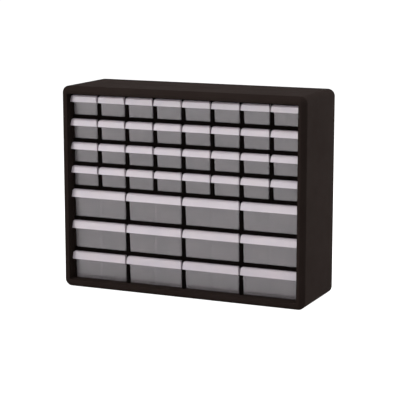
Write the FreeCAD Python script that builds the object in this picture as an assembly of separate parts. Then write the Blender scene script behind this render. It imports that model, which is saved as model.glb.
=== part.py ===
import FreeCAD, Part
import os

# Parts bin cabinet: a moulded case with a crowned front rim, a grid of shelves and uprights,
# a screwed-on back cover, and rows of small and large pull-out drawers.
# Millimetres. X to the right, Y towards the back, Z up. The origin is the centre of the base.

Vec = FreeCAD.Vector

# Case, overall
case_width = 508.0
case_height = 400.0
case_depth = 168.0
case_corner_radius = 14.0
back_edge_radius = 7.0

# Front rim: a flat land round the opening, then two sloping bands back to the walls
rim_width = 14.6
crown_width = 9.0
crown_depth = 10.5
knee_width_share = 0.59
knee_depth_share = 0.4
land_edge_radius = 3.0
knee_radius = 12.0
rim_edge_radius = 1.2
opening_corner_radius = 3.0
opening_edge_radius = 0.8

# Case walls and back cover
outer_skin = 2.6
inner_skin = 2.3
cover_depth = 10.0
cover_wall = 2.6
spigot_height = 4.0
spigot_wall = 1.6
spigot_gap = 0.3

# Screws that hold the back cover
screw_shank_radius = 1.5
screw_head_radius = 3.1
screw_head_height = 1.7
screw_sink = 0.9
screw_length = 20.0
screw_gap = 0.05
screw_recess_span = 3.4
screw_recess_width = 0.8
screw_recess_depth = 1.1
boss_length = 16.0
boss_overlap = 0.4
post_radius = 4.4
side_screw_height_shares = (0.16, 0.84)
top_screw_width_shares = (-0.3, 0.3)

# Keyholes for wall screws
keyhole_spacing = 406.4
keyhole_height = 330.0
keyhole_entry_radius = 4.5
keyhole_slot_radius = 2.2
keyhole_slot_rise = 9.0

# Drawer grid
small_columns = 8
small_rows = 4
large_columns = 4
large_rows = 3
row_gap = 6.9
top_gap = 3.5
lip_gap = 2.7
lip_side_gap = 0.75
lip_recess = 12.5
rear_gap = 2.9
running_gap = 0.3

# Drawers
small_height = 39.7
small_lip_height = 13.6
large_lip_height = 15.6
lip_overhang = 2.5
lip_reach = 6.2
lip_wall = 1.5
lip_nose_radius = 4.8
lip_flare = 1.2
lip_end_slope = 1.3
lip_end_radius = 3.2
ear_depth = 2.0
tray_wall = 1.3
tray_floor = 1.4
tray_front_lean = 3.4
tray_draft = 0.5
tray_corner_radius = 2.6
tray_foot_radius = 2.2
bead_height = 1.8
bead_width = 0.45
divider_rib_width = 1.1
divider_rib_depth = 1.1
divider_slot_width = 1.6
divider_height_share = 0.62
cross_slot_shares = (0.36, 0.68)
tab_width = 13.0
tab_height = 2.6
tab_wall = 1.6
large_tab_share = 0.27

# Shelves and uprights
shelf_wall = 1.8
shelf_groove_depth = 1.5
joint_gap = 0.15
lintel_depth = 2.2
lintel_gap = 0.4
upright_side_gap = 1.0
upright_wall = 1.3
upright_groove_depth = 1.0
lap_depth_share = 0.5

overrun = 2.0
tolerance = 0.01

# Places worked out from the sizes
front = -case_depth / 2
back = case_depth / 2
wall_front = front + crown_depth
seam = back - cover_depth
cover_inside = back - cover_wall
screw_top = back - screw_sink

opening_half = case_width / 2 - rim_width
opening_low = rim_width
opening_high = case_height - rim_width

column_pitch = (2 * (opening_half - lip_side_gap) + lip_gap) / small_columns
large_pitch = column_pitch * small_columns / large_columns
small_lip_width = column_pitch - lip_gap
large_lip_width = large_pitch - lip_gap

row_count = small_rows + large_rows
clear_height = opening_high - opening_low - running_gap - top_gap - (row_count - 1) * row_gap
large_height = (clear_height - small_rows * small_height) / large_rows

lip_front = front + lip_recess
drawer_length = cover_inside - rear_gap - lip_front
ear_rear = lip_reach + ear_depth
stop_plane = lip_front + ear_rear + running_gap
rack_rear = cover_inside - running_gap

upright_width = lip_gap + 2 * lip_overhang - 2 * upright_side_gap
cell_half = opening_half - lip_side_gap - lip_overhang + upright_side_gap
lap_plane = stop_plane + (rack_rear - stop_plane) * lap_depth_share

cavity_front = wall_front + outer_skin
cavity_half = opening_half + inner_skin
cavity_low = opening_low - inner_skin
cavity_high = opening_high + inner_skin

drawer_travel = drawer_length - tab_wall - ear_rear - running_gap - lintel_depth - running_gap


def box(x_low, x_high, y_low, y_high, z_low, z_high):
    """A box between two corners."""
    return Part.makeBox(x_high - x_low, y_high - y_low, z_high - z_low, Vec(x_low, y_low, z_low))


def round_outline(half, low, high, radius, y):
    """A rounded rectangle in the plane at y, as one closed wire."""
    flat = radius * (1 - 0.5 ** 0.5)
    edges = []
    edges.append(Part.makeLine(Vec(radius - half, y, low), Vec(half - radius, y, low)))
    edges.append(Part.Arc(Vec(half - radius, y, low), Vec(half - flat, y, low + flat),
                          Vec(half, y, low + radius)).toShape())
    edges.append(Part.makeLine(Vec(half, y, low + radius), Vec(half, y, high - radius)))
    edges.append(Part.Arc(Vec(half, y, high - radius), Vec(half - flat, y, high - flat),
                          Vec(half - radius, y, high)).toShape())
    edges.append(Part.makeLine(Vec(half - radius, y, high), Vec(radius - half, y, high)))
    edges.append(Part.Arc(Vec(radius - half, y, high), Vec(flat - half, y, high - flat),
                          Vec(-half, y, high - radius)).toShape())
    edges.append(Part.makeLine(Vec(-half, y, high - radius), Vec(-half, y, low + radius)))
    edges.append(Part.Arc(Vec(-half, y, low + radius), Vec(flat - half, y, low + flat),
                          Vec(radius - half, y, low)).toShape())
    return Part.Wire(edges)


def round_prism(half, low, high, radius, y_low, y_high):
    """A rounded rectangle drawn from y_low to y_high."""
    face = Part.Face(round_outline(half, low, high, radius, y_low))
    return face.extrude(Vec(0, y_high - y_low, 0))


def edges_at_y(shape, y, half=case_width, reach=case_height):
    """The edges that lie in the plane at y, within half of the middle and reach of the base."""
    found = []
    for edge in shape.Edges:
        limits = edge.BoundBox
        flat = abs(limits.YMin - y) < tolerance and abs(limits.YMax - y) < tolerance
        inside = limits.XMax < half + tolerance and limits.ZMax < reach + tolerance
        if flat and inside:
            found.append(edge)
    return found


def crowned_block():
    """The outside of the case, from the front land to the seam with the back cover."""
    half = case_width / 2
    insets = (crown_width, crown_width * (1 - knee_width_share), 0)
    places = (front, front + crown_depth * knee_depth_share, wall_front)
    sections = []
    for inset, y in zip(insets, places):
        radius = case_corner_radius - inset
        sections.append(round_outline(half - inset, inset, case_height - inset, radius, y))
    block = round_prism(half, 0, case_height, case_corner_radius, wall_front, seam)
    for first, second in zip(sections, sections[1:]):
        block = block.fuse(Part.makeLoft([first, second], True, True))
    block = block.removeSplitter()
    for y, radius in zip(places, (land_edge_radius, knee_radius, rim_edge_radius)):
        block = block.makeFillet(radius, edges_at_y(block, y))
    return block


def screw_places():
    """Middles of the cover screws, as x and z pairs between the two skins of the case."""
    side = (cavity_half + case_width / 2 - outer_skin) / 2
    edge = (cavity_low + outer_skin) / 2
    places = []
    for share in side_screw_height_shares:
        places.append((-side, case_height * share))
        places.append((side, case_height * share))
    for share in top_screw_width_shares:
        places.append((case_width * share, edge))
        places.append((case_width * share, case_height - edge))
    return places


def rod(radius, x, z, y_low, y_high):
    """A round rod along Y."""
    return Part.makeCylinder(radius, y_high - y_low, Vec(x, y_low, z), Vec(0, 1, 0))


def row_floors():
    """Heights of the drawers' undersides, from the top row down to the lowest."""
    floors = []
    top = opening_high - top_gap
    for row in range(row_count):
        height = small_height if row < small_rows else large_height
        floors.append(top - height)
        top = top - height - row_gap
    return floors


def shelf_tops():
    """Upper faces of the shelves, one below each row but the last."""
    return [floor - running_gap for floor in row_floors()[:-1]]


def column_middles(columns, pitch):
    """Middles of the drawers in one row."""
    return [pitch * (column - (columns - 1) / 2) for column in range(columns)]


def upright_middles(columns, pitch):
    """Middles of the uprights between the columns."""
    return [pitch * (column - columns / 2) for column in range(1, columns)]


def lintels(columns, pitch, z_low, z_high):
    """Bars over the mouths of one row of cells that stop the drawers' rear tabs."""
    bars = []
    half = (pitch - upright_width) / 2 - joint_gap
    for column, middle in enumerate(column_middles(columns, pitch)):
        left = middle - half
        right = middle + half
        if column == 0:
            left = joint_gap - cell_half
        if column == columns - 1:
            right = cell_half - joint_gap
        bars.append(box(left, right, stop_plane, stop_plane + lintel_depth, z_low, z_high))
    return bars


def make_case():
    """The case: outer and inner skins joined by the crowned rim, open to the back."""
    case = crowned_block()
    opening = round_prism(opening_half, opening_low, opening_high, opening_corner_radius,
                          front - overrun, stop_plane)
    cells = box(-cell_half, cell_half, stop_plane - tolerance, seam + overrun, opening_low, opening_high)
    half = case_width / 2 - outer_skin
    hollow = round_prism(half, outer_skin, case_height - outer_skin, case_corner_radius - outer_skin,
                         cavity_front, seam + overrun)
    core = box(-cavity_half, cavity_half, cavity_front, seam + overrun, cavity_low, cavity_high)
    case = case.cut([opening, cells, hollow.cut(core)])
    bosses = []
    for x, z in screw_places():
        radius = (half - cavity_half) / 2 + boss_overlap
        bosses.append(rod(radius, x, z, seam - boss_length, seam))
    case = case.fuse(bosses)
    bars = lintels(small_columns, column_pitch, opening_high - top_gap + lintel_gap,
                   opening_high + inner_skin / 2)
    case = case.fuse(bars)
    cuts = []
    for x, z in screw_places():
        cuts.append(rod(screw_shank_radius + screw_gap, x, z, seam - boss_length, seam + overrun))
    for top in shelf_tops():
        cuts.append(box(-cell_half - shelf_groove_depth, cell_half + shelf_groove_depth, stop_plane,
                        seam + overrun, top - shelf_wall - joint_gap, top + joint_gap))
    groove_half = upright_width / 2 + joint_gap
    for middle in upright_middles(small_columns, column_pitch):
        cuts.append(box(middle - groove_half, middle + groove_half, stop_plane, seam + overrun,
                        opening_high - tolerance, opening_high + upright_groove_depth))
    for middle in upright_middles(large_columns, large_pitch):
        cuts.append(box(middle - groove_half, middle + groove_half, stop_plane, seam + overrun,
                        opening_low - upright_groove_depth, opening_low + tolerance))
    case = case.cut(cuts)
    rim = edges_at_y(case, front, opening_half, opening_high)
    rim = [edge for edge in rim if edge.BoundBox.ZMin > opening_low - tolerance
           and edge.BoundBox.XMin > -opening_half - tolerance]
    return case.makeFillet(opening_edge_radius, rim)


def keyhole(x):
    """A keyhole: a round entry with a narrow slot above it."""
    y_low = cover_inside - overrun
    y_high = back + overrun
    entry = rod(keyhole_entry_radius, x, keyhole_height, y_low, y_high)
    top = keyhole_height + keyhole_slot_rise
    slot = box(x - keyhole_slot_radius, x + keyhole_slot_radius, y_low, y_high, keyhole_height, top)
    end = rod(keyhole_slot_radius, x, top, y_low, y_high)
    return entry.fuse([slot, end])


def make_back_cover():
    """The back cover: a shallow pan with rounded edges, a locating spigot, posts and keyholes."""
    half = case_width / 2
    pan = round_prism(half, 0, case_height, case_corner_radius, seam, back)
    pan = pan.makeFillet(back_edge_radius, edges_at_y(pan, back))
    pan = pan.cut(round_prism(half - cover_wall, cover_wall, case_height - cover_wall,
                              case_corner_radius - cover_wall, seam - overrun, cover_inside))
    edge = outer_skin + spigot_gap
    inner = edge + spigot_wall
    ring = round_prism(half - edge, edge, case_height - edge, case_corner_radius - edge,
                       seam - spigot_height, cover_inside + cover_wall / 2)
    ring = ring.cut(round_prism(half - inner, inner, case_height - inner, case_corner_radius - inner,
                                seam - spigot_height - overrun, cover_inside))
    pan = pan.fuse(ring)
    posts = []
    reliefs = []
    holes = []
    boss_radius = (half - outer_skin - cavity_half) / 2 + boss_overlap
    for x, z in screw_places():
        reliefs.append(rod(boss_radius + spigot_gap, x, z, seam - spigot_height - overrun, seam))
        posts.append(rod(post_radius, x, z, seam, cover_inside + cover_wall / 2))
        holes.append(rod(screw_shank_radius + screw_gap, x, z, seam - overrun, back + overrun))
        holes.append(rod(screw_head_radius + screw_gap, x, z, screw_top, back + overrun))
        cone_place = Vec(x, screw_top - screw_head_height, z)
        holes.append(Part.makeCone(screw_shank_radius + screw_gap, screw_head_radius + screw_gap,
                                   screw_head_height, cone_place, Vec(0, 1, 0)))
    pan = pan.cut(reliefs)
    pan = pan.fuse(posts)
    holes.append(keyhole(-keyhole_spacing / 2))
    holes.append(keyhole(keyhole_spacing / 2))
    return pan.cut(holes)


def cross_recess(x, z):
    """The cross-shaped hollow in a screw head, as two blades of a driver's tip."""
    span = screw_recess_span / 2
    width = screw_recess_width / 2
    y_low = screw_top - screw_recess_depth
    y_high = screw_top + overrun
    return [box(x - span, x + span, y_low, y_high, z - width, z + width),
            box(x - width, x + width, y_low, y_high, z - span, z + span)]


def make_screws():
    """Countersunk screws through the cover into the bosses of the case."""
    screws = []
    for x, z in screw_places():
        head = Part.makeCone(screw_shank_radius, screw_head_radius, screw_head_height,
                             Vec(x, screw_top - screw_head_height, z), Vec(0, 1, 0))
        shank = rod(screw_shank_radius, x, z, screw_top - screw_length, screw_top - screw_head_height)
        screws.append(head.fuse(shank).removeSplitter().cut(cross_recess(x, z)))
    return Part.makeCompound(screws)


def make_shelf(row):
    """The shelf below a row, with lap slots for the uprights that cross it."""
    top = shelf_tops()[row]
    under_small = row + 1 < small_rows
    columns = small_columns if under_small else large_columns
    pitch = column_pitch if under_small else large_pitch
    half = cell_half + shelf_groove_depth - joint_gap
    shelf = box(-half, half, stop_plane, rack_rear, top - shelf_wall, top)
    narrow = cell_half - joint_gap
    for side in (-1, 1):
        outer = side * half
        inner = side * narrow
        shelf = shelf.cut(box(min(inner, outer), max(inner, outer), seam - joint_gap, rack_rear + overrun,
                              top - shelf_wall - overrun, top + overrun))
    bar_low = top + running_gap - row_gap + lintel_gap
    shelf = shelf.fuse(lintels(columns, pitch, bar_low, top - shelf_wall / 2)).removeSplitter()
    ends_columns = row + 1 == small_rows
    if ends_columns:
        return shelf
    slots = []
    slot_half = upright_width / 2 + joint_gap
    for middle in upright_middles(columns, pitch):
        slots.append(box(middle - slot_half, middle + slot_half, lap_plane, rack_rear + overrun,
                         top - shelf_wall - overrun, top + overrun))
    return shelf.cut(slots)


def make_upright(middle, z_low, z_high, crossed_tops):
    """A channel between two columns, open to the back and notched over the shelves it crosses."""
    half = upright_width / 2
    post = box(middle - half, middle + half, stop_plane, rack_rear, z_low, z_high)
    hollow = box(middle - half + upright_wall, middle + half - upright_wall, stop_plane + upright_wall,
                 rack_rear + overrun, z_low - overrun, z_high + overrun)
    cuts = [hollow]
    for top in crossed_tops:
        cuts.append(box(middle - half - overrun, middle + half + overrun, stop_plane - overrun,
                        lap_plane + joint_gap, top - shelf_wall - joint_gap, top + joint_gap))
    return post.cut(cuts)


def trim_upright_end(post, middle, z_low, z_high):
    """Shortens the rear end of an upright that stands past the seam, where the case has no groove."""
    half = upright_width / 2
    return post.cut(box(middle - half - overrun, middle + half + overrun, seam - joint_gap,
                        rack_rear + overrun, z_low, z_high))


def make_small_uprights():
    """Uprights between the columns of small drawers."""
    tops = shelf_tops()
    z_low = tops[small_rows - 1]
    z_high = opening_high + upright_groove_depth - joint_gap
    posts = []
    for middle in upright_middles(small_columns, column_pitch):
        post = make_upright(middle, z_low, z_high, tops[:small_rows - 1])
        posts.append(trim_upright_end(post, middle, opening_high - joint_gap, z_high + overrun))
    return Part.makeCompound(posts)


def make_large_uprights():
    """Uprights between the columns of large drawers."""
    tops = shelf_tops()
    z_low = opening_low - upright_groove_depth + joint_gap
    z_high = tops[small_rows - 1] - shelf_wall
    posts = []
    for middle in upright_middles(large_columns, large_pitch):
        post = make_upright(middle, z_low, z_high, tops[small_rows:])
        posts.append(trim_upright_end(post, middle, z_low - overrun, opening_low + joint_gap))
    return Part.makeCompound(posts)


def tray_limits(width, height, z, inset):
    """Half the width, the near end and the far end of a tray at height z, drawn in by inset."""
    share = 1 - z / height
    half = width / 2 - tray_draft * share - inset
    near = lip_reach + tray_front_lean * share + inset
    far = drawer_length - tray_draft * share - inset
    return half, near, far


def tray_block(width, height, z_low, z_high, inset, foot_radius):
    """A block with a leaning front, drafted sides, rounded corners and a rounded foot."""
    low_half, low_near, low_far = tray_limits(width, height, z_low, inset)
    high_half, high_near, high_far = tray_limits(width, height, z_high, inset)
    block = Part.makeWedge(-low_half, z_low, -low_far, -high_far, -high_half,
                           low_half, z_high, -low_near, -high_near, high_half)
    block.rotate(Vec(0, 0, 0), Vec(1, 0, 0), 90)
    corners = [edge for edge in block.Edges if edge.BoundBox.ZLength > z_high - z_low - tolerance]
    block = block.makeFillet(tray_corner_radius - inset, corners)
    foot = [edge for edge in block.Edges if edge.BoundBox.ZMax < z_low + tolerance]
    return block.makeFillet(foot_radius, foot)


def lip_profile(height, lip_height, wall, rear, drop):
    """The side view of the lip, as a face in the plane x = 0: a nose that rolls down from the rim."""
    radius = lip_nose_radius - wall
    top = height - wall
    centre_y = lip_flare + lip_nose_radius
    centre_z = height - lip_nose_radius
    slant = radius * 0.5 ** 0.5
    low = height - lip_height - drop
    nose_top = Vec(0, centre_y, top)
    nose_mid = Vec(0, centre_y - slant, centre_z + slant)
    nose_front = Vec(0, centre_y - radius, centre_z)
    foot_front = Vec(0, wall, height - lip_height)
    foot_low = Vec(0, wall, low)
    edges = [Part.makeLine(Vec(0, rear, top), nose_top)]
    edges.append(Part.Arc(nose_top, nose_mid, nose_front).toShape())
    edges.append(Part.makeLine(nose_front, foot_front))
    if drop > 0:
        edges.append(Part.makeLine(foot_front, foot_low))
    edges.append(Part.makeLine(foot_low, Vec(0, rear, low)))
    edges.append(Part.makeLine(Vec(0, rear, low), Vec(0, rear, top)))
    return Part.Face(Part.Wire(edges))


def lip_front_view(width, height, lip_height, inset, drop):
    """The front view of the lip as a solid along Y: sloping ends with rounded upper corners."""
    low_half = width / 2 - inset
    high_half = low_half - lip_end_slope
    low = height - lip_height
    top = height - inset
    rise = top - low
    length = (rise ** 2 + lip_end_slope ** 2) ** 0.5
    radius = lip_end_radius - inset
    turn = (length - rise) / lip_end_slope
    setback = radius * (1 + lip_end_slope / length) / (rise / length)
    side_x = high_half + setback * lip_end_slope / length
    side_z = top - setback * rise / length
    bow = radius / 2 ** 0.5
    centre_x = high_half - setback
    centre_z = top - radius
    points = {}
    for side in (-1, 1):
        points[side] = (Vec(side * low_half, 0, low - drop), Vec(side * low_half, 0, low),
                        Vec(side * side_x, 0, side_z),
                        Vec(side * (centre_x + bow * (1 + turn / 2) ** 0.5), 0, centre_z + bow),
                        Vec(side * centre_x, 0, top))
    edges = [Part.makeLine(points[-1][0], points[1][0])]
    for side in (-1, 1):
        foot, corner, end_low, end_mid, end_top = points[side]
        if drop > 0:
            edges.append(Part.makeLine(foot, corner))
        edges.append(Part.makeLine(corner, end_low))
        edges.append(Part.Arc(end_low, end_mid, end_top).toShape())
    edges.append(Part.makeLine(points[-1][4], points[1][4]))
    face = Part.Face(Part.Wire(Part.sortEdges(edges)[0]))
    solid = face.extrude(Vec(0, ear_rear + 2 * overrun, 0))
    solid.translate(Vec(0, -overrun, 0))
    return solid


def make_lip(width, height, lip_height):
    """The finger lip: a hood with closed ends, without its hollow."""
    block = lip_profile(height, lip_height, 0, ear_rear, 0).extrude(Vec(width, 0, 0))
    block.translate(Vec(-width / 2, 0, 0))
    return block.common(lip_front_view(width, height, lip_height, 0, 0))


def make_lip_hollow(width, height, lip_height):
    """The space under the lip, where the fingertips go."""
    block = lip_profile(height, lip_height, lip_wall, ear_rear + overrun, overrun).extrude(Vec(width, 0, 0))
    block.translate(Vec(-width / 2, 0, 0))
    return block.common(lip_front_view(width, height, lip_height, lip_wall, overrun))


def divider_ribs(width, height, lengthwise):
    """Ribs on the walls that make slots for dividers, before they are trimmed to the tray."""
    top = height * divider_height_share
    half = width / 2
    inside = half - tray_draft - tray_wall - divider_rib_depth
    offset = divider_slot_width / 2
    ribs = []
    for share in cross_slot_shares:
        middle = lip_reach + (drawer_length - lip_reach) * share
        for side in (-1, 1):
            near = middle + side * offset
            far = near + side * divider_rib_width
            low = min(near, far)
            high = max(near, far)
            ribs.append(box(-half, -inside, low, high, tray_floor / 2, top))
            ribs.append(box(inside, half, low, high, tray_floor / 2, top))
    if lengthwise:
        near_wall = lip_reach + tray_front_lean + tray_wall + divider_rib_depth
        far_wall = drawer_length - tray_draft - tray_wall - divider_rib_depth
        for side in (-1, 1):
            first = side * offset
            second = first + side * divider_rib_width
            low = min(first, second)
            high = max(first, second)
            ribs.append(box(low, high, lip_reach, near_wall, tray_floor / 2, top))
            ribs.append(box(low, high, far_wall, drawer_length, tray_floor / 2, top))
    return ribs


def stop_tabs(width, height, places):
    """Tabs on the rear wall that meet the lintel when the drawer is pulled right out."""
    tabs = []
    for place in places:
        tabs.append(box(place - tab_width / 2, place + tab_width / 2, drawer_length - tab_wall,
                        drawer_length, height - tab_height, height + tab_height))
    return tabs


def rim_bead(width, height):
    """A bead round the outside of the tray's upper edge, on the sides and the back."""
    half = width / 2 + bead_width
    return box(-half, half, ear_rear, drawer_length, height - bead_height, height)


def make_drawer(lip_width, height, lip_height, lengthwise, tab_places):
    """One drawer about its own middle, with its lip's front at y = 0 and its foot at z = 0."""
    width = lip_width - 2 * lip_overhang
    outside = tray_block(width, height, 0, height, 0, tray_foot_radius)
    inside = tray_block(width, height, tray_floor, height + overrun, tray_wall,
                        tray_foot_radius - tray_wall)
    ribs = [rib.common(outside) for rib in divider_ribs(width, height, lengthwise)]
    bead = rim_bead(width, height).cut(outside)
    drawer = outside.fuse([make_lip(lip_width, height, lip_height), bead]).cut(inside)
    drawer = drawer.fuse(ribs + stop_tabs(width, height, tab_places))
    hollow = make_lip_hollow(lip_width, height, lip_height).cut(outside)
    return drawer.cut(hollow).removeSplitter()


def place_drawers(name, drawer, columns, pitch, floors):
    """Copies of one drawer in every cell of its rows, as node names with shapes."""
    placed = {}
    for row, floor in enumerate(floors):
        for column, middle in enumerate(column_middles(columns, pitch)):
            shape = drawer.copy()
            shape.translate(Vec(middle, lip_front, floor))
            placed[f"{name}_{row + 1}_{column + 1}"] = shape
    return placed


def make_nodes():
    """Every piece of the cabinet under its own name."""
    floors = row_floors()
    nodes = {"outer_case": make_case(), "back_cover": make_back_cover(), "back_screws": make_screws()}
    for row in range(row_count - 1):
        nodes[f"shelf_{row + 1}"] = make_shelf(row)
    nodes["small_uprights"] = make_small_uprights()
    nodes["large_uprights"] = make_large_uprights()
    small = make_drawer(small_lip_width, small_height, small_lip_height, False, (0,))
    spread = large_lip_width * large_tab_share
    large = make_drawer(large_lip_width, large_height, large_lip_height, True, (-spread, spread))
    nodes.update(place_drawers("small_drawer", small, small_columns, column_pitch, floors[:small_rows]))
    nodes.update(place_drawers("large_drawer", large, large_columns, large_pitch, floors[small_rows:]))
    return nodes


os.makedirs("parts", exist_ok=True)
for node, shape in make_nodes().items():
    shape.exportStep(f"parts/{node}.step")
    print(node, shape.ShapeType, len(shape.Solids), shape.isValid(), round(shape.Volume))
print("drawer travel", round(drawer_travel, 2), "drawer length", round(drawer_length, 2))
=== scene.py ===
import math

import bpy
import bmesh
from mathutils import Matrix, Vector


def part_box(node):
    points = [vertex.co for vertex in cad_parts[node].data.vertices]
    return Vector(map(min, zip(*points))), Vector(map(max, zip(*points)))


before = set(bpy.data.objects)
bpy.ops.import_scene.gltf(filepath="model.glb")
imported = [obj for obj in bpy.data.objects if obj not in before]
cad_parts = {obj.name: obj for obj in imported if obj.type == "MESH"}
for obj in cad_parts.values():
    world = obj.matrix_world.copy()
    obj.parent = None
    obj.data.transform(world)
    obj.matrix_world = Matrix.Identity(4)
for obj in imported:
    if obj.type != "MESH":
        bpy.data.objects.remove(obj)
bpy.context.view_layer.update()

bl_info = {
    "name": "Parts bin cabinet",
    "version": (1, 0, 0),
    "blender": (4, 5, 0),
    "location": "3D View > Sidebar > Cabinet",
    "description": "Finishes for a moulded cabinet of translucent parts drawers, and its studio",
    "category": "Object",
}

SHELL_NODES = ("outer_case", "back_cover")
RACK_NODES = ("small_uprights", "large_uprights")
SHELF_PREFIX = "shelf_"
SMALL_PREFIX = "small_drawer_"
LARGE_PREFIX = "large_drawer_"
SCREW_NODE = "back_screws"

# Lamps
FRONT_LAMP_PLACE = (-1.1, -2.4, 0.45)
TOP_LAMP_PLACE = (0.0, -0.5, 2.4)
SIDE_LAMP_PLACE = (1.9, 2.0, 0.9)
LAMP_SIZE = 1.5

# The part of a noise pattern's span that carries most of its change
PATTERN_LOW_SHARE = 0.3
PATTERN_HIGH_SHARE = 0.7

# Patterns of the black plastic
MOTTLE_DETAIL = 4
PATCHES_PER_MOTTLE = 3
PATCH_DETAIL = 5
PATCH_ROUGH_SHARE = 0.6
PEBBLES_PER_WAVE = 12
PEBBLE_SOFT_SHARE = 0.6
PEBBLE_RELIEF_SHARE = 0.6

# Patterns of the clear plastic
RIPPLES_PER_CLOUD = 4
CLOUD_DETAIL = 3
RUBS_PER_RIPPLE = 2
RUB_DETAIL = 6
RUB_STRETCH = (1, 0.15, 4)

# Patterns of the steel
TARNISH_DETAIL = 4
WORN_SPOTS_PER_PATCH = 3
TURNING_STRETCH = (1, 8, 1)

# Clean-up of the meshes
WELD_DISTANCE = 0.000002
FLAT_ANGLE = math.radians(0.5)
BEVEL_ANGLE = math.radians(40)
BEVEL_STEPS = 2
SHARP_ANGLE = math.radians(35)


def nodes_named(*prefixes):
    """The frame's pieces whose names start alike, in order."""
    return [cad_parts[name] for name in sorted(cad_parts) if name.startswith(prefixes)]


# Settings


class BlackPlastic(bpy.types.PropertyGroup):
    """The moulded black plastic of the case, the back cover and the rack."""

    colour: bpy.props.FloatVectorProperty(
        name="Colour", description="Main colour of the moulding", subtype="COLOR",
        default=(0.0250, 0.0173, 0.0151), min=0, max=1)
    bloom: bpy.props.FloatVectorProperty(
        name="Bloom", description="Paler tone where the surface has dried or been handled",
        subtype="COLOR", default=(0.0295, 0.0210, 0.0186), min=0, max=1)
    grain_size: bpy.props.FloatProperty(
        name="Grain size", description="Width of one pebble of the moulded grain",
        default=0.0009, min=0.0002, max=0.01, unit="LENGTH")
    grain_depth: bpy.props.FloatProperty(
        name="Grain depth", description="Height of the moulded grain",
        default=0.00003, min=0, max=0.001, unit="LENGTH")
    mottle_size: bpy.props.FloatProperty(
        name="Mottle size", description="Width of the faint cloudy patches",
        default=0.07, min=0.005, max=1, unit="LENGTH")
    sheen: bpy.props.FloatProperty(
        name="Sheen", description="Strength of the plastic's gloss",
        default=0.02, min=0, max=1, subtype="FACTOR")
    roughness: bpy.props.FloatVectorProperty(
        name="Roughness", description="Lowest and highest roughness of the surface", size=2,
        default=(0.84, 0.94), min=0, max=1)
    # Painted shade: darkens the rack's plastic below the case's, standing in for the shade in the recess
    # behind the drawers.
    rack_painted_shade: bpy.props.FloatProperty(
        name="Rack shade", description="Colour of the rack as a share of the case's",
        default=0.15, min=0, max=1, subtype="FACTOR")
    edge_radius: bpy.props.FloatProperty(
        name="Edge radius", description="Rounding of the edges that the mould leaves",
        default=0.0004, min=0, max=0.002, unit="LENGTH")


class ClearPlastic(bpy.types.PropertyGroup):
    """The translucent plastic of the drawers."""

    lip_colour: bpy.props.FloatVectorProperty(
        name="Lip colour", description="Main colour of the thick milky lip", subtype="COLOR",
        default=(0.88, 0.79, 0.84), min=0, max=1)
    lip_haze: bpy.props.FloatVectorProperty(
        name="Lip haze", description="Cooler tone of the flow clouds in the lip", subtype="COLOR",
        default=(0.82, 0.75, 0.82), min=0, max=1)
    tray_colour: bpy.props.FloatVectorProperty(
        name="Tray colour", description="Main colour of the thin walls behind the lip", subtype="COLOR",
        default=(0.855, 0.80, 0.825), min=0, max=1)
    tray_haze: bpy.props.FloatVectorProperty(
        name="Tray haze", description="Cooler tone of the flow clouds in the walls", subtype="COLOR",
        default=(0.80, 0.76, 0.79), min=0, max=1)
    clearness: bpy.props.FloatProperty(
        name="Clearness", description="Share of the light that goes through the tray",
        default=0.87, min=0, max=1, subtype="FACTOR")
    lip_clearness: bpy.props.FloatProperty(
        name="Lip clearness", description="Share of the light that goes through the frosted lip",
        default=0.48, min=0, max=1, subtype="FACTOR")
    frost_depth: bpy.props.FloatProperty(
        name="Frost depth", description="Depth of the frosted lip, from its front",
        default=0.0055, min=0, max=0.05, unit="LENGTH")
    frost_fade: bpy.props.FloatProperty(
        name="Frost fade", description="Distance over which the frosting ends",
        default=0.0020, min=0, max=0.05, unit="LENGTH")
    roughness: bpy.props.FloatVectorProperty(
        name="Roughness", description="Lowest and highest roughness of the surface", size=2,
        default=(0.13, 0.20), min=0, max=1)
    density: bpy.props.FloatProperty(
        name="Refractive index", description="How strongly the plastic bends light",
        default=1.49, min=1, max=2)
    edge_radius: bpy.props.FloatProperty(
        name="Edge radius", description="Rounding of the drawers' edges",
        default=0.0003, min=0, max=0.001, unit="LENGTH")
    ripple_size: bpy.props.FloatProperty(
        name="Ripple size", description="Width of the slight waves in the walls",
        default=0.009, min=0.001, max=0.1, unit="LENGTH")
    ripple_depth: bpy.props.FloatProperty(
        name="Ripple depth", description="Height of the slight waves in the walls",
        default=0.00004, min=0, max=0.001, unit="LENGTH")


class PlatedSteel(bpy.types.PropertyGroup):
    """The zinc-plated steel of the screws."""

    colour: bpy.props.FloatVectorProperty(
        name="Colour", description="Colour of the plating", subtype="COLOR",
        default=(0.50, 0.49, 0.47), min=0, max=1)
    bright: bpy.props.FloatVectorProperty(
        name="Bright", description="Colour of the brighter patches", subtype="COLOR",
        default=(0.64, 0.63, 0.60), min=0, max=1)
    roughness: bpy.props.FloatVectorProperty(
        name="Roughness", description="Lowest and highest roughness of the surface", size=2,
        default=(0.28, 0.46), min=0, max=1)
    patch_size: bpy.props.FloatProperty(
        name="Patch size", description="Width of the dull patches",
        default=0.004, min=0.0005, max=0.05, unit="LENGTH")
    mark_size: bpy.props.FloatProperty(
        name="Mark size", description="Spacing of the turning marks",
        default=0.0009, min=0.0001, max=0.01, unit="LENGTH")
    mark_depth: bpy.props.FloatProperty(
        name="Mark depth", description="Depth of the turning marks",
        default=0.00002, min=0, max=0.001, unit="LENGTH")


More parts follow.
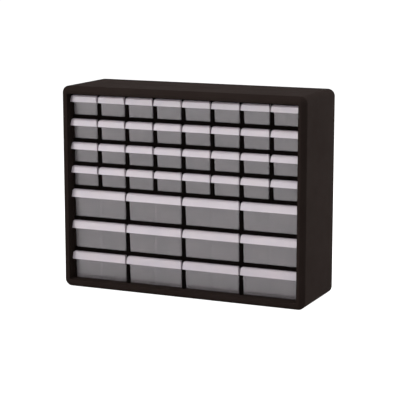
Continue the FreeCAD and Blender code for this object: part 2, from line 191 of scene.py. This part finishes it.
class Studio(bpy.types.PropertyGroup):
    """The floor, the lamps and the camera."""

    turn: bpy.props.FloatProperty(
        name="Turn", description="How far the camera stands round to the right of the front",
        default=math.radians(24.07), subtype="ANGLE")
    tilt: bpy.props.FloatProperty(
        name="Tilt", description="How far the camera looks down",
        default=math.radians(10.24), subtype="ANGLE")
    distance: bpy.props.FloatProperty(
        name="Distance", description="From the camera to the point that it looks at",
        default=2.8236, min=0.5, max=20, unit="LENGTH")
    focal_length: bpy.props.FloatProperty(
        name="Focal length", description="Lens of the camera, in millimetres",
        default=133.91, min=20, max=500)
    aim: bpy.props.FloatVectorProperty(
        name="Aim", description="The point that the camera looks at", subtype="XYZ", unit="LENGTH",
        default=(0.03975, -0.0735, 0.1939))
    floor_size: bpy.props.FloatProperty(
        name="Floor size", description="Width of the floor",
        default=80, min=5, max=500, unit="LENGTH")
    front_power: bpy.props.FloatProperty(
        name="Front lamp", description="Power of the lamp in front, in watts",
        default=30, min=0, max=1000)
    top_power: bpy.props.FloatProperty(
        name="Top lamp", description="Power of the lamp overhead, in watts",
        default=25, min=0, max=1000)
    side_power: bpy.props.FloatProperty(
        name="Side lamp", description="Power of the lamp at the right, in watts",
        default=42, min=0, max=1000)
    world_level: bpy.props.FloatProperty(
        name="Ambient level", description="Strength of the even light all round",
        default=0.12, min=0, max=2)
    floor_colour: bpy.props.FloatProperty(
        name="Floor colour", description="Paleness of the floor",
        default=0.80, min=0, max=1, subtype="FACTOR")
    floor_glow: bpy.props.FloatProperty(
        name="Floor glow", description="White that the floor shows to the camera by itself",
        default=0.97, min=0, max=1, subtype="FACTOR")


class CabinetSettings(bpy.types.PropertyGroup):
    """All the sizes and colours of the cabinet."""

    black: bpy.props.PointerProperty(type=BlackPlastic)
    clear: bpy.props.PointerProperty(type=ClearPlastic)
    steel: bpy.props.PointerProperty(type=PlatedSteel)
    studio: bpy.props.PointerProperty(type=Studio)


# Node trees


def add_node(tree, kind, **inputs):
    """A node of one kind, with its sockets set by name."""
    node = tree.nodes.new(kind)
    for name, value in inputs.items():
        node.inputs[name.replace("_", " ")].default_value = value
    return node


def new_material(name):
    """A material with its tree and its main shader."""
    material = bpy.data.materials.new(name)
    material.use_nodes = True
    return material, material.node_tree, material.node_tree.nodes["Principled BSDF"]


def object_place(tree, stretch=(1, 1, 1)):
    """The place on the object, stretched along the axes."""
    coordinates = tree.nodes.new("ShaderNodeTexCoord")
    mapping = add_node(tree, "ShaderNodeMapping", Scale=stretch)
    tree.links.new(coordinates.outputs["Object"], mapping.inputs["Vector"])
    return mapping.outputs["Vector"]


def noise(tree, place, size, detail=2.0, roughness=0.5):
    """Cloudy noise whose patches are about one size across."""
    node = add_node(tree, "ShaderNodeTexNoise", Scale=1 / size, Detail=detail, Roughness=roughness)
    tree.links.new(place, node.inputs["Vector"])
    return node.outputs["Fac"]


def pebbles(tree, place, size):
    """Rounded cells, as in a moulded leather grain."""
    node = tree.nodes.new("ShaderNodeTexVoronoi")
    node.feature = "SMOOTH_F1"
    node.inputs["Scale"].default_value = 1 / size
    node.inputs["Smoothness"].default_value = PEBBLE_SOFT_SHARE
    tree.links.new(place, node.inputs["Vector"])
    return node.outputs["Distance"]


def remap(tree, value, low, high, start=PATTERN_LOW_SHARE, end=PATTERN_HIGH_SHARE):
    """Stretches the middle of a pattern between two values."""
    node = add_node(tree, "ShaderNodeMapRange", From_Min=start, From_Max=end, To_Min=low, To_Max=high)
    tree.links.new(value, node.inputs["Value"])
    return node.outputs["Result"]


def blend_colours(tree, share, first, second):
    """A colour between two, by a pattern. Each of them is a plain colour or another blend."""
    node = tree.nodes.new("ShaderNodeMix")
    node.data_type = "RGBA"
    factor, start, end = [socket for socket in node.inputs if socket.enabled]
    tree.links.new(share, factor)
    for source, socket in ((first, start), (second, end)):
        if isinstance(source, bpy.types.NodeSocket):
            tree.links.new(source, socket)
        else:
            socket.default_value = (*source, 1)
    return next(socket for socket in node.outputs if socket.enabled)


def relief(tree, height, depth, strength=1.0, under=None):
    """A bump from a pattern, on top of another bump where one is given."""
    node = add_node(tree, "ShaderNodeBump", Distance=depth, Strength=strength)
    tree.links.new(height, node.inputs["Height"])
    if under is not None:
        tree.links.new(under, node.inputs["Normal"])
    return node.outputs["Normal"]


# Materials


def make_black_plastic(name, settings, painted_shade_share=1.0):
    """Black plastic with a fine pebbled grain, faint clouding and a low sheen, its colours darkened by a
    painted shade share where it stands in for shade.
    """
    material, tree, shader = new_material(name)
    place = object_place(tree)
    clouds = noise(tree, place, settings.mottle_size, MOTTLE_DETAIL)
    # Painted shade: a share below one darkens both colours to stand in for shade.
    colour = tuple(part * painted_shade_share for part in settings.colour)
    bloom = tuple(part * painted_shade_share for part in settings.bloom)
    mixed = blend_colours(tree, remap(tree, clouds, 0, 1), colour, bloom)
    tree.links.new(mixed, shader.inputs["Base Color"])
    patch_size = settings.mottle_size / PATCHES_PER_MOTTLE
    patches = noise(tree, place, patch_size, PATCH_DETAIL, PATCH_ROUGH_SHARE)
    tree.links.new(remap(tree, patches, *settings.roughness), shader.inputs["Roughness"])
    wave_size = settings.grain_size * PEBBLES_PER_WAVE
    waves = relief(tree, noise(tree, place, wave_size), settings.grain_depth)
    grain = relief(tree, pebbles(tree, place, settings.grain_size), settings.grain_depth,
                   PEBBLE_RELIEF_SHARE, waves)
    tree.links.new(grain, shader.inputs["Normal"])
    shader.inputs["Specular IOR Level"].default_value = settings.sheen
    return material


def make_clear_plastic(name, settings, front):
    """Milky translucent plastic with flow clouds, slight waves and rubbing marks, frosted at the lips."""
    material, tree, shader = new_material(name)
    place = object_place(tree)
    depth = tree.nodes.new("ShaderNodeSeparateXYZ")
    tree.links.new(place, depth.inputs["Vector"])
    frost_end = front + settings.frost_depth
    behind_lip = remap(tree, depth.outputs["Y"], 0, 1, frost_end, frost_end + settings.frost_fade)
    cloud_size = settings.ripple_size * RIPPLES_PER_CLOUD
    clouds = remap(tree, noise(tree, place, cloud_size, CLOUD_DETAIL), 0, 1)
    lip = blend_colours(tree, clouds, settings.lip_colour, settings.lip_haze)
    tray = blend_colours(tree, clouds, settings.tray_colour, settings.tray_haze)
    tree.links.new(blend_colours(tree, behind_lip, lip, tray), shader.inputs["Base Color"])
    clearness = remap(tree, behind_lip, settings.lip_clearness, settings.clearness, 0, 1)
    tree.links.new(clearness, shader.inputs["Transmission Weight"])
    rub_size = settings.ripple_size / RUBS_PER_RIPPLE
    rubbed = noise(tree, object_place(tree, RUB_STRETCH), rub_size, RUB_DETAIL)
    tree.links.new(remap(tree, rubbed, *settings.roughness), shader.inputs["Roughness"])
    waves = relief(tree, noise(tree, place, settings.ripple_size), settings.ripple_depth)
    tree.links.new(waves, shader.inputs["Normal"])
    shader.inputs["IOR"].default_value = settings.density
    return material


def make_screw_steel(name, settings):
    """Zinc-plated steel with fine turning marks and dull patches."""
    material, tree, shader = new_material(name)
    place = object_place(tree)
    tarnish = noise(tree, place, settings.patch_size, TARNISH_DETAIL)
    mixed = blend_colours(tree, remap(tree, tarnish, 0, 1), settings.colour, settings.bright)
    tree.links.new(mixed, shader.inputs["Base Color"])
    worn = noise(tree, place, settings.patch_size / WORN_SPOTS_PER_PATCH)
    tree.links.new(remap(tree, worn, *settings.roughness), shader.inputs["Roughness"])
    turned = noise(tree, object_place(tree, TURNING_STRETCH), settings.mark_size)
    marks = relief(tree, turned, settings.mark_depth)
    tree.links.new(marks, shader.inputs["Normal"])
    shader.inputs["Metallic"].default_value = 1
    return material


def finish_node(piece, material):
    """Gives a piece of the frame its material in every slot."""
    if not piece.material_slots:
        raise RuntimeError(f"{piece.name} has no material slot")
    for place in piece.material_slots:
        place.material = material


def soften_edges(piece, radius):
    """Joins the faces of a piece, rounds its sharp edges slightly and smooths the shading."""
    weld = piece.modifiers.new("join_faces", "WELD")
    weld.merge_threshold = WELD_DISTANCE
    flat = piece.modifiers.new("merge_flats", "DECIMATE")
    flat.decimate_type = "DISSOLVE"
    flat.angle_limit = FLAT_ANGLE
    round_over = piece.modifiers.new("round_edges", "BEVEL")
    round_over.width = radius
    round_over.segments = BEVEL_STEPS
    round_over.limit_method = "ANGLE"
    round_over.angle_limit = BEVEL_ANGLE
    round_over.use_clamp_overlap = True
    shading = piece.modifiers.new("smooth_shading", "NODES")
    shading.node_group = smooth_shading_tree()
    normals = piece.modifiers.new("even_flats", "WEIGHTED_NORMAL")
    normals.keep_sharp = True


def smooth_shading_tree():
    """A node group that shades a mesh smooth, but for its sharp edges."""
    name = "smooth_shading"
    if name in bpy.data.node_groups:
        return bpy.data.node_groups[name]
    tree = bpy.data.node_groups.new(name, "GeometryNodeTree")
    tree.interface.new_socket("Geometry", in_out="INPUT", socket_type="NodeSocketGeometry")
    tree.interface.new_socket("Geometry", in_out="OUTPUT", socket_type="NodeSocketGeometry")
    start = tree.nodes.new("NodeGroupInput")
    end = tree.nodes.new("NodeGroupOutput")
    faces = add_node(tree, "GeometryNodeSetShadeSmooth", Shade_Smooth=True)
    angle = tree.nodes.new("GeometryNodeInputMeshEdgeAngle")
    limit = tree.nodes.new("FunctionNodeCompare")
    limit.operation = "LESS_THAN"
    limit.inputs["B"].default_value = SHARP_ANGLE
    edges = tree.nodes.new("GeometryNodeSetShadeSmooth")
    edges.domain = "EDGE"
    tree.links.new(start.outputs[0], faces.inputs["Geometry"])
    tree.links.new(faces.outputs["Geometry"], edges.inputs["Geometry"])
    tree.links.new(angle.outputs["Unsigned Angle"], limit.inputs["A"])
    tree.links.new(limit.outputs["Result"], edges.inputs["Shade Smooth"])
    tree.links.new(edges.outputs["Geometry"], end.inputs[0])
    return tree


# Stage


def seen_directly(tree):
    """One for what the camera sees, also mirrored or through clear parts, and nothing for other light."""
    path = tree.nodes.new("ShaderNodeLightPath")
    seen = path.outputs["Is Camera Ray"]
    for kind in ("Is Glossy Ray", "Is Transmission Ray"):
        most = tree.nodes.new("ShaderNodeMath")
        most.operation = "MAXIMUM"
        tree.links.new(seen, most.inputs[0])
        tree.links.new(path.outputs[kind], most.inputs[1])
        seen = most.outputs["Value"]
    return seen


def make_floor_material(settings):
    """White floor that takes soft shadows and shows white to the camera."""
    material, tree, shader = new_material("floor_white")
    shader.inputs["Base Color"].default_value = (*[settings.floor_colour] * 3, 1)
    shader.inputs["Roughness"].default_value = 1
    shader.inputs["Specular IOR Level"].default_value = 0
    shader.inputs["Emission Color"].default_value = (1, 1, 1, 1)
    lift = add_node(tree, "ShaderNodeMapRange", To_Min=0, To_Max=settings.floor_glow)
    tree.links.new(seen_directly(tree), lift.inputs["Value"])
    tree.links.new(lift.outputs["Result"], shader.inputs["Emission Strength"])
    return material


def make_floor(settings):
    """A wide flat floor under the cabinet."""
    mesh = bpy.data.meshes.new("studio_floor")
    shape = bmesh.new()
    bmesh.ops.create_grid(shape, x_segments=1, y_segments=1, size=settings.floor_size / 2)
    shape.to_mesh(mesh)
    shape.free()
    floor = bpy.data.objects.new("studio_floor", mesh)
    bpy.context.scene.collection.objects.link(floor)
    mesh.materials.append(make_floor_material(settings))


def make_world(level):
    """Even soft light all round, which shows white where the camera sees it."""
    world = bpy.data.worlds.new("studio_world")
    bpy.context.scene.world = world
    world.use_nodes = True
    tree = world.node_tree
    light = tree.nodes["Background"]
    light.inputs["Color"].default_value = (1, 1, 1, 1)
    strength = add_node(tree, "ShaderNodeMapRange", To_Min=level, To_Max=1)
    tree.links.new(seen_directly(tree), strength.inputs["Value"])
    tree.links.new(strength.outputs["Result"], light.inputs["Strength"])


def make_lamp(name, aim, place, size, power):
    """A square soft lamp at a place, turned to its aim."""
    data = bpy.data.lights.new(name, "AREA")
    data.shape = "SQUARE"
    data.size = size
    data.energy = power
    lamp = bpy.data.objects.new(name, data)
    bpy.context.scene.collection.objects.link(lamp)
    lamp.location = place
    lamp.rotation_euler = (Vector(aim) - Vector(place)).to_track_quat("-Z", "Y").to_euler()


def make_camera(settings):
    """The camera at the viewing angle of the photograph."""
    data = bpy.data.cameras.new("studio_camera")
    data.lens = settings.focal_length
    data.clip_end = settings.floor_size
    camera = bpy.data.objects.new("studio_camera", data)
    bpy.context.scene.collection.objects.link(camera)
    away = Vector((math.sin(settings.turn) * math.cos(settings.tilt),
                   -math.cos(settings.turn) * math.cos(settings.tilt),
                   math.sin(settings.tilt)))
    camera.location = Vector(settings.aim) + settings.distance * away
    camera.rotation_euler = (-away).to_track_quat("-Z", "Y").to_euler()
    bpy.context.scene.camera = camera


# Operators


class CABINET_OT_shell(bpy.types.Operator):
    """Finishes the outer case and the back cover"""

    bl_idname = "cabinet.shell"
    bl_label = "Case and back cover"

    def execute(self, context):
        settings = context.scene.cabinet.black
        material = make_black_plastic("black_shell_plastic", settings)
        for name in SHELL_NODES:
            finish_node(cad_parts[name], material)
            soften_edges(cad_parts[name], settings.edge_radius)
        return {"FINISHED"}


class CABINET_OT_rack(bpy.types.Operator):
    """Finishes the shelves and uprights inside the case, in a darker copy of the case's plastic as
    painted shade of the recess
    """

    bl_idname = "cabinet.rack"
    bl_label = "Shelves and uprights"

    def execute(self, context):
        settings = context.scene.cabinet.black
        # Painted shade: the rack gets a darker copy of the case's plastic for the shade in the recess.
        material = make_black_plastic("black_rack_plastic_painted_shade", settings, settings.rack_painted_shade)
        for piece in nodes_named(SHELF_PREFIX, *RACK_NODES):
            finish_node(piece, material)
            soften_edges(piece, settings.edge_radius)
        return {"FINISHED"}


class CABINET_OT_drawers(bpy.types.Operator):
    """Finishes the small and large drawers"""

    bl_idname = "cabinet.drawers"
    bl_label = "Drawers"

    def execute(self, context):
        settings = context.scene.cabinet.clear
        pieces = nodes_named(SMALL_PREFIX, LARGE_PREFIX)
        front = min(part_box(piece.name)[0][1] for piece in pieces)
        material = make_clear_plastic("clear_drawer_plastic", settings, front)
        for piece in pieces:
            finish_node(piece, material)
            soften_edges(piece, settings.edge_radius)
        return {"FINISHED"}


class CABINET_OT_screws(bpy.types.Operator):
    """Finishes the screws in the back cover"""

    bl_idname = "cabinet.screws"
    bl_label = "Screws"

    def execute(self, context):
        settings = context.scene.cabinet.steel
        finish_node(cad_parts[SCREW_NODE], make_screw_steel("screw_steel", settings))
        return {"FINISHED"}


class CABINET_OT_stage(bpy.types.Operator):
    """Adds the floor, the even light, the lamps and the camera"""

    bl_idname = "cabinet.stage"
    bl_label = "Studio"

    def execute(self, context):
        settings = context.scene.cabinet.studio
        make_floor(settings)
        make_world(settings.world_level)
        make_camera(settings)
        make_lamp("front_lamp", settings.aim, FRONT_LAMP_PLACE, LAMP_SIZE, settings.front_power)
        make_lamp("top_lamp", settings.aim, TOP_LAMP_PLACE, LAMP_SIZE, settings.top_power)
        make_lamp("side_lamp", settings.aim, SIDE_LAMP_PLACE, LAMP_SIZE, settings.side_power)
        context.scene.view_settings.view_transform = "Standard"
        return {"FINISHED"}


class CABINET_PT_panel(bpy.types.Panel):
    """Buttons for the cabinet's pieces"""

    bl_idname = "CABINET_PT_panel"
    bl_label = "Parts bin cabinet"
    bl_space_type = "VIEW_3D"
    bl_region_type = "UI"
    bl_category = "Cabinet"

    def draw(self, context):
        for operator in OPERATORS:
            self.layout.operator(operator.bl_idname)


OPERATORS = (CABINET_OT_stage, CABINET_OT_shell, CABINET_OT_rack, CABINET_OT_drawers, CABINET_OT_screws)
CLASSES = (BlackPlastic, ClearPlastic, PlatedSteel, Studio, CabinetSettings, *OPERATORS, CABINET_PT_panel)


def register():
    """Adds the classes and the settings to Blender."""
    for kind in CLASSES:
        bpy.utils.register_class(kind)
    bpy.types.Scene.cabinet = bpy.props.PointerProperty(type=CabinetSettings)


def unregister():
    """Takes the classes and the settings out of Blender."""
    del bpy.types.Scene.cabinet
    for kind in reversed(CLASSES):
        bpy.utils.unregister_class(kind)


def main():
    """Makes the stage and finishes every piece."""
    register()
    bpy.ops.cabinet.stage()
    bpy.ops.cabinet.shell()
    bpy.ops.cabinet.rack()
    bpy.ops.cabinet.drawers()
    bpy.ops.cabinet.screws()


if __name__ == "__main__":
    main()
